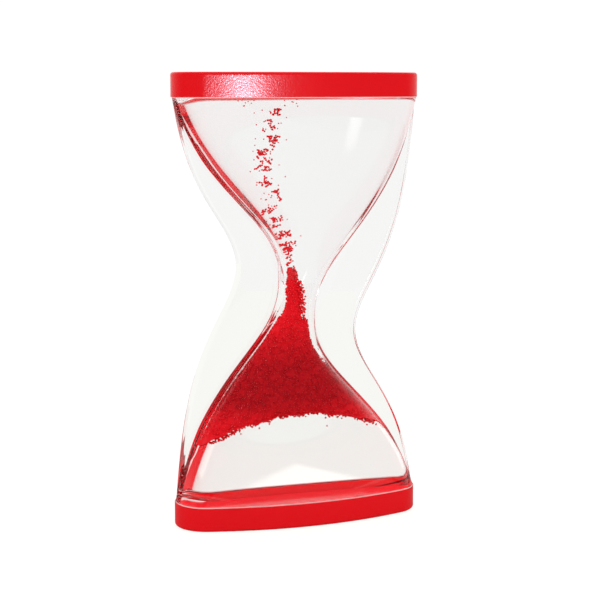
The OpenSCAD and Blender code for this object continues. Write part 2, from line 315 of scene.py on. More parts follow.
def clamp(value, low, high):
    return max(low, min(high, value))


def bent(sizes, z, shift):
    """Height as a share of the span, bent so that the waist sits at mid height plus shift."""
    middle = sizes.overall_height / 2
    span = middle - sizes.cap_height
    root = math.sqrt(span * span - 4 * shift * (z - middle - shift))
    return clamp((span - root) / (2 * shift), -1.0, 1.0)


def pinch(u, curve, power):
    """Grows from 0 at the waist to 1 at the ends; a small curve makes a tight waist."""
    rise, tight = abs(u) ** power, curve ** power
    return (1 + tight) * rise / (rise + tight)


def outline(sizes, z, shift, waist, end, curve, power):
    return waist + (end - waist) * pinch(bent(sizes, z, shift), curve, power)


def smooth(t):
    """Goes from 0 to 1 with level ends."""
    t = clamp(t, 0.0, 1.0)
    return t * t * (3 - 2 * t)


def blend(a, b, t):
    return a + (b - a) * t


def mouth(sizes):
    """Half length and half depth of the chamber's mouth."""
    inset = sizes.body_step + sizes.wall
    return sizes.cap_length / 2 - inset, sizes.cap_depth / 2 - inset


def chamber(sizes, z):
    """Middle, half width and half depth of the chamber at a height."""
    end, end_depth = mouth(sizes)
    form = sizes.neck_half_width, end, sizes.neck_curve, sizes.neck_power
    left = -outline(sizes, z, sizes.neck_shift, *form)
    right = outline(sizes, z, -sizes.neck_shift, *form)
    middle = sizes.overall_height / 2
    u = clamp((z - middle) / (middle - sizes.cap_height), -1.0, 1.0)
    depth = blend(sizes.neck_half_depth, end_depth, pinch(u, sizes.neck_curve, sizes.neck_power))
    return (left + right) / 2, (right - left) / 2, depth


def webs(sizes, z):
    """Left and right edge of the web plate at a height."""
    end = sizes.cap_length / 2 - sizes.body_step - sizes.web_inset
    form = sizes.web_waist, end, sizes.web_curve, sizes.web_power
    return -outline(sizes, z, sizes.web_shift, *form), outline(sizes, z, -sizes.web_shift, *form)


def tongue(sizes, beads, z):
    """Middle and half width of the tongue that leans through the neck."""
    middle, half, _ = chamber(sizes, z)
    width = max(beads.tongue_tip, beads.tongue_half - beads.tongue_taper * max(0.0, z - beads.tongue_foot))
    waist = sizes.overall_height / 2
    rise = max(0.0, z - waist) / (beads.tongue_top - waist)
    lean = -beads.tongue_offset - beads.tongue_drift * rise * rise
    return max(lean, middle - half + beads.film / 2 + width), width


def bead_pack(sizes, beads, z):
    """Middle, half width and half depth of the bead pack at a height."""
    middle, half, depth = chamber(sizes, z)
    lean, width = tongue(sizes, beads, z)
    film = beads.film
    left_part = smooth((z - beads.left_throat) / beads.left_throat_rise)
    right_part = smooth((z - beads.throat) / beads.throat_rise)
    left = blend(middle - half + film, lean - width, left_part)
    right = blend(middle + half - film, lean + width, right_part)
    return (left + right) / 2, (right - left) / 2, blend(depth - film, min(width, depth - film), left_part)


def section_point(sizes, section, z, around, inward=0.0):
    """Point at a share of the way around a section's oval, or a little inside it."""
    middle, half, depth = section
    a, b = mouth(sizes)
    x, y = oval_point(sizes, a, b, around)
    return Vector((middle + x * (half - inward) / a, y * (depth - inward) / b, z))


def in_section(sizes, section, x, y, inward=0.0):
    """Whether a place is inside a section's oval, that far from its edge."""
    middle, half, depth = section
    a, b = mouth(sizes)
    scaled = abs(x - middle) * a / (half - inward), abs(y) * b / (depth - inward)
    return oval_gap(sizes, a, b, *scaled)[0] < 0


def in_liquid(sizes, point, reach):
    """Whether a bead of that reach is clear of the chamber's wall."""
    return in_section(sizes, chamber(sizes, point.z), point.x, point.y, reach)


def pack_point(sizes, beads, z, around, inward):
    """Point on the pack's side, or a little inside it."""
    return section_point(sizes, bead_pack(sizes, beads, z), z, around, inward)


def arch(beads, x):
    """Level of the arch under the pack."""
    radius = beads.crown_radius if x > beads.crown_x else beads.left_crown_radius
    reach = clamp(x - beads.crown_x, -radius, radius)
    waves = sum(part * math.sin(x / (size * MM) + phase) for size, part, phase in WAVES)
    level = beads.crown - radius + math.sqrt(radius ** 2 - reach ** 2)
    return level + beads.unevenness * waves


def end_lift(beads, x):
    """How far the core stays above the arch: nothing in the middle, most at the two loose ends."""
    return beads.end_lift * smooth((abs(x - beads.crown_x) - beads.end_start) / LIFT_RUN)


def levels(sizes, steps):
    """Heights of the body's rings, closer together near the neck."""
    middle = sizes.overall_height / 2
    span = middle - sizes.cap_height
    near, far = RING_SPREAD
    shares = [2 * i / steps - 1 for i in range(steps + 1)]
    return [middle + span * u * (near + far * u * u) for u in shares]


# The caps' oval: two end arcs and two side arcs


def oval_arcs(sizes, a, b):
    """End radius, side radius, the side arcs' drop and the angle where an end arc stops."""
    end = b * sizes.end_share
    side = ((a - end) ** 2 + b * b - end * end) / (2 * (b - end))
    drop = side - b
    return end, side, drop, math.atan2(drop, a - end)


def oval_point(sizes, a, b, around):
    """Point on the oval at a share of its circumference, from the right-hand tip anticlockwise."""
    end, side, drop, turn = oval_arcs(sizes, a, b)
    quarter_length = end * turn + side * (math.pi / 2 - turn)
    quarter, part = divmod(clamp(around, 0.0, 0.999999) * 4, 1.0)
    along = (part if quarter in (0, 2) else 1 - part) * quarter_length
    if along < end * turn:
        angle = along / end
        x, y = a - end + end * math.cos(angle), end * math.sin(angle)
    else:
        angle = turn + (along - end * turn) / side
        x, y = side * math.cos(angle), side * math.sin(angle) - drop
    return (x if quarter in (0, 3) else -x), (y if quarter in (0, 1) else -y)


def oval_gap(sizes, a, b, x, y):
    """Distance from the oval, negative inside, and its direction, for a point in the first quarter."""
    end, side, drop, turn = oval_arcs(sizes, a, b)
    if math.atan2(y, x - a + end) <= turn:
        away = Vector((x - a + end, y))
        radius = end
    else:
        away = Vector((x, y + drop))
        radius = side
    return away.length - radius, away.normalized()


def crossing(gap, reach):
    """Distance from the middle at which a gap function changes sign."""
    low, high = 0.0, reach
    for _ in range(HALVINGS):
        half = (low + high) / 2
        if gap(half) < 0:
            low = half
        else:
            high = half
    return (low + high) / 2


# The body's outer skin: a flat web plate and a bulge with a soft junction


def quarter_of(column):
    """Side, front or back, and the step within the quarter for a column of the outline."""
    quarter, step = divmod(column, QUARTER)
    side = 1 if quarter in (0, 3) else -1
    front = 1 if quarter in (0, 1) else -1
    return side, front, (step if quarter in (0, 2) else QUARTER - step)


def body_angle(sizes, step, reach, half, depth):
    """Direction of a column: first the web's edge, then its flat face, then the bulge."""
    plate = sizes.web_thickness / 2
    a, b = mouth(sizes)
    end = b * sizes.end_share
    level = plate * b / depth
    join = (a - end + math.sqrt(end * end - level * level)) * half / a
    join = min(join, reach - LEAST_WEB)
    if step <= EDGE_STEPS:
        return math.atan2(plate, reach) * step / EDGE_STEPS, join
    if step <= EDGE_STEPS + FLAT_STEPS:
        part = (step - EDGE_STEPS) / FLAT_STEPS
        return math.atan2(plate, reach + (join - reach) * part), join
    start = math.atan2(plate / depth, join / half)
    part = (step - EDGE_STEPS - FLAT_STEPS) / BULGE_STEPS
    turn = start + (math.pi / 2 - start) * part
    return math.atan2(depth * math.sin(turn), half * math.cos(turn)), join


def body_point(sizes, column, z):
    """Point of the body's outer skin for a column and a height."""
    side, front, step = quarter_of(column)
    middle, half, depth = chamber(sizes, z)
    half += sizes.wall
    depth += sizes.wall
    left, right = webs(sizes, z)
    reach = right - middle if side > 0 else middle - left
    angle, join = body_angle(sizes, step, reach, half, depth)
    a, b = mouth(sizes)
    plate = sizes.web_thickness / 2
    edge = sizes.web_edge
    soft = sizes.junction * clamp((reach - join) / FULL_WEB, LEAST_SOFTNESS, 1.0)

    def gap(radius):
        x, y = radius * math.cos(angle), radius * math.sin(angle)
        over_x, over_y = x - reach + edge, y - plate + edge
        corner = math.hypot(max(over_x, 0.0), max(over_y, 0.0))
        to_web = corner + min(max(over_x, over_y), 0.0) - edge
        away, slope = oval_gap(sizes, a, b, x * a / half, y * b / depth)
        to_bulge = away / math.hypot(slope.x * a / half, slope.y * b / depth)
        near = max(soft - abs(to_web - to_bulge), 0.0) / soft
        return min(to_web, to_bulge) - near * near * soft / 4

    radius = crossing(gap, 2 * sizes.cap_length)
    return Vector((middle + side * radius * math.cos(angle), front * radius * math.sin(angle), z))


# Mesh helpers


def start_ring():
    """A new mesh with one closed ring of edges, and the layer that numbers the columns of its vertices."""
    bm = bmesh.new()
    column = bm.verts.layers.int.new("column")
    bmesh.ops.create_circle(bm, segments=COLUMNS, radius=1.0)
    for index, vert in enumerate(bm.verts):
        vert[column] = index
    return bm, column, list(bm.edges)


def extrude_ring(bm, edges, place, material=0):
    """Extrudes a closed ring of edges, puts its new vertices in place and returns its new edges."""
    made = bmesh.ops.extrude_edge_only(bm, edges=edges)["geom"]
    for item in made:
        if isinstance(item, bmesh.types.BMVert):
            item.co = place(item)
        elif isinstance(item, bmesh.types.BMFace):
            item.material_index = material
    return [e for e in made if isinstance(e, bmesh.types.BMEdge) and e.is_boundary]


def add_piece(name, bm, materials, body, replaced=(), sharp=180):
    """Makes an object of a bmesh, gives it its materials and lets it ride on a body. Edges that turn
    by more than the sharp angle, in degrees, aren't shaded smooth."""
    mesh = bpy.data.meshes.new(name)
    bm.to_mesh(mesh)
    bm.free()
    for material in materials:
        mesh.materials.append(material)
    mesh.shade_smooth()
    mesh.set_sharp_from_angle(angle=math.radians(sharp))
    piece = bpy.data.objects.new(name, mesh)
    bpy.context.scene.collection.objects.link(piece)
    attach(piece, body)
    if replaced:
        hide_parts(*replaced)
    return piece


def let_light_through(piece):
    """Lamps and scattered light pass a clear piece as if it weren't there, so what is inside is lit."""
    piece.visible_shadow = False
    piece.visible_diffuse = False


def scatter_beads(bm, places, diameter, rng):
    """Adds a small faceted bead at each place, turned and sized a little at random."""
    shape = bmesh.new()
    bmesh.ops.create_icosphere(shape, subdivisions=1, radius=diameter / 2)
    bead = bpy.data.meshes.new("bead_shape")
    shape.to_mesh(bead)
    shape.free()
    for place in places:
        axis = Vector((rng.uniform(-1, 1), rng.uniform(-1, 1), rng.uniform(-1, 1) + 0.01)).normalized()
        turn = Matrix.Rotation(rng.uniform(0, math.pi), 4, axis)
        put = Matrix.Translation(place) @ turn @ Matrix.Scale(rng.uniform(SMALLEST_BEAD, LARGEST_BEAD), 4)
        bead.transform(put)
        bm.from_mesh(bead)
        bead.transform(put.inverted())
    bpy.data.meshes.remove(bead)


# Places of the rising stream's beads


def meets(spot, rise, placed, room):
    """Whether a bead comes closer than room to one placed before it, at any time while both rise."""
    for other, other_rise in placed:
        off = spot - other
        travel = rise - other_rise
        if travel:
            off.z += clamp(-off.z / travel, 0.0, 1.0) * travel
        if off.length < room:
            return True
    return False


def clump_arms(rng, centre, step, number, free):
    """Short arms of touching beads from scattered roots, with gaps of clear liquid between them."""
    across, deep, high = ROOT_SPREAD
    places = []
    while len(places) < number:
        spot = centre + Vector((rng.gauss(0, across), rng.gauss(0, deep), rng.uniform(-high, high))) * MM
        turn = rng.uniform(0, 2 * math.pi)
        for _ in range(rng.randint(1, ARM_BEADS)):
            off = spot - centre
            if all(abs(off[i]) < CLUMP_REACH[i] for i in range(3)) and free(spot):
                places.append(spot)
            turn += rng.uniform(-ARM_BEND, ARM_BEND)
            slant = rng.uniform(-ARM_SLANT, ARM_SLANT)
            spot = spot + Vector((math.cos(turn), slant, math.sin(turn))) * step
    return places


def clump_strays(rng, centre, free):
    """Single small beads around a clump."""
    across, deep, high = STRAY_SPREAD
    places = []
    while len(places) < CLUMP_STRAYS:
        off = Vector((rng.gauss(0, across), rng.uniform(-deep, deep), rng.uniform(-high, high))) * MM
        if free(centre + off):
            places.append(centre + off)
    return places


def stream_places(sizes, beads):
    """Places of each clump's arms and strays and its rise. The clumps close up as they rise, so each bead
    keeps clear of the other clumps' beads all the way, and of the beads under the ceiling."""
    rises = {joint["child"]: joint["range_m"][1] for joint in frame["joints"]}
    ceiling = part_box("ceiling_beads")[0].z - beads.bead
    room = beads.stream_bead * LARGEST_BEAD
    placed = []
    clumps = []
    for number, wanted in enumerate(CLUMP_BEADS, 1):
        rng = random.Random(CLUMP_SEED + number)
        low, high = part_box(f"bead_clump_{number}")
        rise = rises[f"clump_{number}"]

        def free(spot):
            clear = spot.z + rise < ceiling and in_liquid(sizes, spot, beads.stream_bead)
            return clear and not meets(spot, rise, placed, room)

        centre = (low + high) / 2
        arms = clump_arms(rng, centre, beads.stream_bead * ARM_PITCH, wanted, free)
        strays = clump_strays(rng, centre, free)
        placed += [(spot, rise) for spot in arms + strays]
        clumps.append((arms, strays, rise))
    return clumps


# Materials


def add(tree, kind, inputs=None, **settings):
    """Adds a node, makes its settings, and sets or links each input that is named. A node given as an input
    is linked by its first output in use."""
    made = tree.nodes.new(kind)
    for name, value in settings.items():
        setattr(made, name, value)
    for name, value in (inputs or {}).items():
        if isinstance(value, bpy.types.Node):
            value = next(output for output in value.outputs if output.enabled)
        if isinstance(value, bpy.types.NodeSocket):
            tree.links.new(value, made.inputs[name])
        else:
            made.inputs[name].default_value = value
    return made


def per_mm(size):
    """Texture scale that gives features of a size in millimetres."""
    return 1 / (size * MM)


def start_material(name):
    """An empty node material, its tree and the object's own coordinates in it."""
    material = bpy.data.materials.new(name)
    material.use_nodes = True
    tree = material.node_tree
    tree.nodes.clear()
    return material, tree, add(tree, "ShaderNodeTexCoord").outputs["Object"]


def close_material(tree, inputs):
    """Joins a principled shader with these inputs to the material's output."""
    shader = add(tree, "ShaderNodeBsdfPrincipled", inputs)
    add(tree, "ShaderNodeOutputMaterial", {"Surface": shader})


def moulded(name, pale, dark, mark, grain, rough, bump, more):
    """Moulded plastic: two tones in soft flow marks, and a fine grain that sets roughness and bump.
    Marks and grain have a size in millimetres, rough is a range, and bump a strength and a depth, also in
    millimetres."""
    material, tree, where = start_material(name)
    marks = add(tree, "ShaderNodeTexNoise", {"Vector": where, "Scale": per_mm(mark), "Detail": 2.0})
    tone = add(tree, "ShaderNodeMix", {0: marks, 6: dark, 7: pale}, data_type="RGBA")
    fine = add(tree, "ShaderNodeTexNoise", {"Vector": where, "Scale": per_mm(grain), "Detail": 3.0})
    gloss = add(tree, "ShaderNodeMapRange", {
        "Value": fine, "From Min": 0.3, "From Max": 0.7, "To Min": rough[0], "To Max": rough[1],
    })
    relief = add(tree, "ShaderNodeBump", {"Height": fine, "Strength": bump[0], "Distance": bump[1] * MM})
    close_material(tree, {"Base Color": tone, "Roughness": gloss, "Normal": relief, **more})
    return material


def cap_plastic(colours):
    """Injection-moulded ABS: an even red with a satin, faintly grained skin that spreads highlights.
    The grain is about 0.1 mm on the real caps and is drawn at 0.6 mm so that it shows."""
    return moulded("ABS_satin_moulded", colours.cap, colours.cap_dark, mark=22.0, grain=0.6,
                   rough=(0.18, 0.26), bump=(0.8, 0.055), more={"IOR": 1.53, "Specular IOR Level": 0.1})


def closure_plastic(colours):
    """Injection-moulded ABS from a polished tool, wetted on its face: the IOR is that against the liquid."""
    return moulded("ABS_gloss_moulded", colours.closure, colours.closure_dark, mark=18.0, grain=4.0,
                   rough=(0.10, 0.16), bump=(0.02, 0.05), more={"IOR": 1.13})


def stopper_rubber(colours):
    """Moulded thermoplastic rubber: a dull red close to the closures'."""
    return moulded("TPE_moulded", colours.stopper, colours.stopper_dark, mark=6.0, grain=0.6,
                   rough=(0.5, 0.62), bump=(0.1, 0.05), more={"IOR": 1.5})


def gasket_silicone(colours):
    """Die-cut silicone: the caps' red with a soft dull skin."""
    return moulded("silicone_die_cut", colours.gasket, colours.gasket_dark, mark=5.0, grain=0.5,
                   rough=(0.45, 0.6), bump=(0.1, 0.04), more={"IOR": 1.41})


def acrylic(colours, name, dullest, ior):
    """Clear acrylic moulded in polished tools: water-clear walls with a mirror skin and faint flow marks."""
    return moulded(name, colours.clear, colours.clear_dark, mark=30.0, grain=14.0, rough=(0.0, dullest),
                   bump=(0.02, 0.2), more={"IOR": ior, "Transmission Weight": 1.0})


def clear_plastic(colours):
    """The acrylic in air."""
    return acrylic(colours, "PMMA_clear_moulded", 0.012, 1.49)


def wet_plastic(colours):
    """The same acrylic where the liquid wets it: its IOR is that of the wall against the liquid."""
    return acrylic(colours, "PMMA_clear_wet", 0.012, 1.078)


def edge_plastic(colours):
    """The same acrylic on the webs' rounded outer edges. They let the white surroundings straight through,
    so they hardly show; a low IOR gives that on so thin a strip."""
    return acrylic(colours, "PMMA_clear_edge", 0.03, 1.08)


def painted_rim_highlight(colours):
    """Acrylic where the body enters the caps and is cemented into them, painted pale with some of the cap's
    red: a painted highlight for the light line along each cap's rim.
    """
    return moulded("PMMA_painted_rim_highlight", colours.rim_highlight, colours.rim_highlight_dark, mark=8.0, grain=0.6,
                   rough=(0.4, 0.55), bump=(0.1, 0.05), more={"IOR": 1.45, "Transmission Weight": 0.3})


def clear_liquid(colours):
    """Water and glycol. The wall's wet face already bends the light, so the liquid only tints it."""
    return moulded("glycol_water_clear", colours.liquid, colours.liquid_dark, mark=26.0, grain=20.0,
                   rough=(0.0, 0.004), bump=(0.005, 0.2), more={"IOR": 1.0, "Transmission Weight": 1.0})


def bead_plastic(colours):
    """Suspension-made polystyrene beads, wetted by the liquid, each bead its own tone. Their red is painted
    lighter by height towards the neck and stream and towards the arch, and darker in the pack's middle:
    painted light and shade for the light the beads let through where the pack is thin, and the shade in its
    thick.
    The liquid takes most of the surface reflection, so the IOR is that of bead against liquid."""
    material, tree, where = start_material("polystyrene_beads_wet")
    cells = add(tree, "ShaderNodeTexVoronoi", {"Vector": where, "Scale": per_mm(0.6)})
    drift = add(tree, "ShaderNodeTexNoise", {"Vector": where, "Scale": per_mm(9.0), "Detail": 2.0})
    grey = add(tree, "ShaderNodeRGBToBW", {"Color": cells.outputs["Color"]})
    both = add(tree, "ShaderNodeMath", {0: grey, 1: drift}, operation="ADD")
    grain = add(tree, "ShaderNodeMapRange", {
        "Value": both, "From Min": 0.55, "From Max": 1.35, "To Min": -0.1, "To Max": 0.1,
    })
    height = add(tree, "ShaderNodeSeparateXYZ", {"Vector": where}).outputs["Z"]
    # Painted light and shade by height: lighter towards the neck and stream and towards the arch, darker in
    # the pack's middle
    neck = add(tree, "ShaderNodeMapRange", {
        "Value": height, "From Min": 50 * MM, "From Max": 70 * MM,
    }, interpolation_type="SMOOTHSTEP")
    edge = add(tree, "ShaderNodeMapRange", {
        "Value": height, "From Min": 43 * MM, "From Max": 33 * MM, "To Max": 0.8,
    }, interpolation_type="SMOOTHSTEP")
    thin = add(tree, "ShaderNodeMath", {0: neck, 1: edge}, operation="MAXIMUM")
    part = add(tree, "ShaderNodeMath", {0: thin, 1: grain}, operation="ADD", use_clamp=True)
    tone = add(tree, "ShaderNodeMix", {0: part, 6: colours.bead_painted_shade, 7: colours.bead}, data_type="RGBA")
    gloss = add(tree, "ShaderNodeMapRange", {"Value": grey, "To Min": 0.4, "To Max": 0.55})
    relief = add(tree, "ShaderNodeBump", {
        "Height": cells.outputs["Distance"], "Strength": 0.35, "Distance": 0.15 * MM,
    }, invert=True)
    close_material(tree, {
        "Base Color": tone, "Roughness": gloss, "Normal": relief,
        "IOR": 1.17, "Specular IOR Level": 0.2,
    })
    return material


# Operators


class TIMER_OT_clear_body(bpy.types.Operator):
    """Builds the clear hourglass body with its side webs, as one welded piece"""

    bl_idname = "timer.clear_body"
    bl_label = "Clear body"

    def execute(self, context):
        sizes = context.scene.timer_sizes
        heights = levels(sizes, RING_STEPS)
        bm, column, first = start_ring()
        for vert in bm.verts:
            vert.co = body_point(sizes, vert[column], heights[0])
        ring = first
        line = sizes.rim_highlight_line
        for z in [heights[0] + line] + heights[1:-1] + [heights[-1] - line, heights[-1]]:
            ring = extrude_ring(bm, ring, lambda vert: body_point(sizes, vert[column], z))
        for face in bm.faces:
            if all(quarter_of(vert[column])[2] <= EDGE_STEPS for vert in face.verts):
                face.material_index = EDGE_FACE
            # Faces at each end, painted pale as the highlight line along the cap's rim
            if not heights[0] + line < face.calc_center_median().z < heights[-1] - line:
                face.material_index = RIM_HIGHLIGHT_FACE
        a = sizes.cap_length / 2 - sizes.spigot_inset
        b = sizes.cap_depth / 2 - sizes.spigot_inset

        def onto_spigot(vert):
            x, y = vert.co.x, vert.co.y
            scale = crossing(lambda s: oval_gap(sizes, a, b, abs(x) * s, abs(y) * s)[0], 2.0)
            return Vector((x * scale, y * scale, vert.co.z))

        def spigot_rim(vert, z):
            x, y = oval_point(sizes, a, b, vert[column] / COLUMNS)
            return Vector((x, y, z))

        def in_chamber(vert, z):
            return section_point(sizes, chamber(sizes, z), z, vert[column] / COLUMNS)

        low_rim = sizes.mouth_level
        high_rim = sizes.overall_height - low_rim
        ring = extrude_ring(bm, ring, onto_spigot)
        ring = extrude_ring(bm, ring, lambda vert: spigot_rim(vert, high_rim))
        for z in [high_rim] + heights[::-1] + [low_rim]:
            ring = extrude_ring(bm, ring, lambda vert: in_chamber(vert, z), WET_FACE)
        ring = extrude_ring(bm, ring, lambda vert: spigot_rim(vert, low_rim))
        low_spigot = extrude_ring(bm, first, onto_spigot)
        bmesh.ops.bridge_loops(bm, edges=ring + low_spigot)
        bmesh.ops.recalc_face_normals(bm, faces=bm.faces)
        colours = context.scene.timer_colours
        finishes = clear_plastic, wet_plastic, edge_plastic, painted_rim_highlight
        materials = [finish(colours) for finish in finishes]
        shells = ["front_shell", "rear_shell"]
        let_light_through(add_piece("clear_body", bm, materials, "timer", shells, sharp=40))
        return {"FINISHED"}


class TIMER_OT_liquid(bpy.types.Operator):
    """Builds the liquid that fills the chamber between the closures"""

    bl_idname = "timer.liquid"
    bl_label = "Liquid"

    def execute(self, context):
        sizes = context.scene.timer_sizes
        gap = sizes.liquid_gap
        low = sizes.floor_level + gap
        heights = [low] + levels(sizes, RING_STEPS) + [sizes.overall_height - low]
        bm, column, first = start_ring()

        def place(vert, z):
            return section_point(sizes, chamber(sizes, z), z, vert[column] / COLUMNS, gap)

        for vert in bm.verts:
            vert.co = place(vert, heights[0])
        ring = first
        for z in heights[1:]:
            ring = extrude_ring(bm, ring, lambda vert: place(vert, z))
        bmesh.ops.edgeloop_fill(bm, edges=first)
        bmesh.ops.edgeloop_fill(bm, edges=ring)
        bmesh.ops.recalc_face_normals(bm, faces=bm.faces)
        material = clear_liquid(context.scene.timer_colours)
        liquid = add_piece("filling_liquid", bm, [material], "timer", ["liquid"], sharp=40)
        let_light_through(liquid)
        return {"FINISHED"}


class TIMER_OT_caps(bpy.types.Operator):
    """Gives the caps, closures, gaskets and filling stoppers their materials"""

    bl_idname = "timer.caps"
    bl_label = "Caps and closures"

    def execute(self, context):
        colours = context.scene.timer_colours
        finishes = {
            "cap": cap_plastic(colours),
            "closure": closure_plastic(colours),
            "gasket": gasket_silicone(colours),
            "fill_plug": stopper_rubber(colours),
        }
        for end in ("top", "base"):
            for kind, material in finishes.items():
                mesh = frame["nodes"][f"{end}_{kind}"].data
                mesh.materials.clear()
                mesh.materials.append(material)
        return {"FINISHED"}


class TIMER_OT_bead_pack(bpy.types.Operator):
    """Builds the bead pack: a core with an arched underside, covered with single beads"""

    bl_idname = "timer.bead_pack"
    bl_label = "Bead pack"

    def execute(self, context):
        sizes = context.scene.timer_sizes
        beads = context.scene.timer_beads
        material = bead_plastic(context.scene.timer_colours)
        self.add_core(sizes, beads, material)
        rng = random.Random(PACK_SEED)
        places = self.side_places(sizes, beads, rng) + self.arch_places(sizes, beads, rng)
        places += self.edge_places(sizes, beads, rng)
        bm = bmesh.new()
        scatter_beads(bm, places, beads.bead, rng)
        add_piece("pack_beads", bm, [material], "timer")
        return {"FINISHED"}

    def add_core(self, sizes, beads, material):
        """The dense middle of the pack, a little inside its outer beads."""
        inward = beads.bead / 2
        bm, column, ring = start_ring()

        def place(vert, z, part):
            around = vert[column] / COLUMNS
            rightward = max(0.0, math.cos(2 * math.pi * around))
            loose = beads.loose_side * rightward * smooth((z - beads.throat) / beads.throat_rise)
            point = pack_point(sizes, beads, z, around, inward)
            middle = bead_pack(sizes, beads, z)[0]
            point.x = middle + (point.x - middle) * part - loose
            point.y *= part
            point.z = max(z, arch(beads, point.x) + inward + end_lift(beads, point.x))
            return point

        shares = [i / CORE_STEPS for i in range(1, CORE_STEPS + 1)]
        for vert in bm.verts:
            vert.co = place(vert, beads.pack_low, shares[0])
        bmesh.ops.edgeloop_fill(bm, edges=ring)
        for part in shares[1:]:
            ring = extrude_ring(bm, ring, lambda vert: place(vert, beads.pack_low, part))
        top = beads.core_top - inward
        for i in range(1, PACK_RING_STEPS + 1):
            z = beads.pack_low + (top - beads.pack_low) * i / PACK_RING_STEPS
            ring = extrude_ring(bm, ring, lambda vert: place(vert, z, 1.0))
        bmesh.ops.edgeloop_fill(bm, edges=ring)
        bmesh.ops.recalc_face_normals(bm, faces=bm.faces)
        add_piece("bead_core", bm, [material], "timer", ["bead_pack"], sharp=50)

    def side_places(self, sizes, beads, rng):
        """Beads on the pack's sides, below the tongue."""
        places = []
        widest = sum(bead_pack(sizes, beads, beads.pack_low)[1:])
        while len(places) < beads.side_beads:
            z = rng.uniform(beads.pack_low, beads.throat + beads.throat_rise)
            if rng.random() * widest > sum(bead_pack(sizes, beads, z)[1:]):
                continue
            place = pack_point(sizes, beads, z, rng.random(), rng.uniform(*SIDE_DEPTH) * MM)
            if place.z > arch(beads, place.x):
                places.append(place)
        return places

    def arch_places(self, sizes, beads, rng):
        """Beads on the arched underside, some of them hanging a little below it."""
        mouth_a, mouth_b = mouth(sizes)
        places = []
        while len(places) < beads.arch_beads:
            x = rng.uniform(-mouth_a, mouth_a)
            y = rng.uniform(-mouth_b, mouth_b)
            level = arch(beads, x)
            if in_section(sizes, bead_pack(sizes, beads, level), x, y):
                hang = rng.expovariate(1 / ARCH_HANG) - ARCH_SINK - rng.random() * end_lift(beads, x)
                places.append(Vector((x, y, level - hang)))
        return places

    def edge_places(self, sizes, beads, rng):
        """Beads along the line where the arch meets the wall, which make that line ragged."""
        places = []
        while len(places) < beads.edge_beads:
            around = rng.random()
            hang = rng.uniform(*EDGE_HANG) * MM
            level = beads.crown
            # Place and level follow from each other
            for _ in range(EDGE_ROUNDS):
                place = pack_point(sizes, beads, level - hang, around, rng.uniform(*EDGE_DEPTH) * MM)
                level = arch(beads, place.x)
            places.append(place)
        return places


class TIMER_OT_tongue(bpy.types.Operator):
    """Covers the tongue in the neck with beads, looser on its right-hand side and at its top"""

    bl_idname = "timer.tongue"
    bl_label = "Tongue"

    def execute(self, context):
        sizes = context.scene.timer_sizes
        beads = context.scene.timer_beads
        material = bead_plastic(context.scene.timer_colours)
        rng = random.Random(TONGUE_SEED)
        places = []
        low = beads.throat + beads.throat_rise / 2
        while len(places) < beads.tongue_beads:
            z = rng.uniform(low, beads.core_top + CORE_OVERLAP)
            around = rng.random()
            right = abs(around - 0.5) > 0.25
            inward = rng.uniform(*(LOOSE_DEPTH if right else TONGUE_DEPTH)) * MM
            places.append(pack_point(sizes, beads, z, around, inward))
        first_low, first_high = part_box("bead_clump_1")
        above = first_high.z - beads.core_top
        wanted = len(places) + beads.loose_beads
        while len(places) < wanted:
            rise = rng.random()
            x = blend(tongue(sizes, beads, beads.core_top)[0], (first_low.x + first_high.x) / 2, rise)
            spot = Vector((x, 0.0, beads.core_top + above * rise))
            across, deep = (rng.gauss(0, spread) for spread in CHAIN_SPREAD)
            spot += Vector((across, deep, 0.0)) * MM
            if in_liquid(sizes, spot, beads.bead):
                places.append(spot)
        bm = bmesh.new()
        scatter_beads(bm, places, beads.bead, rng)
        add_piece("tongue_beads", bm, [material], "timer")
        return {"FINISHED"}


class TIMER_OT_stream(bpy.types.Operator):
    """Builds the clumps of the rising stream, each of short ragged arms of beads"""

    bl_idname = "timer.stream"
    bl_label = "Rising clumps"

    def execute(self, context):
        sizes = context.scene.timer_sizes
        beads = context.scene.timer_beads
        material = bead_plastic(context.scene.timer_colours)
        for number, (arms, strays, _) in enumerate(stream_places(sizes, beads), 1):
            rng = random.Random(TURN_SEED + number)
            bm = bmesh.new()
            scatter_beads(bm, arms, beads.stream_bead, rng)
            scatter_beads(bm, strays, beads.stray_bead, rng)
            name = f"stream_clump_{number}"
            add_piece(name, bm, [material], f"clump_{number}", [f"bead_clump_{number}"])
        return {"FINISHED"}


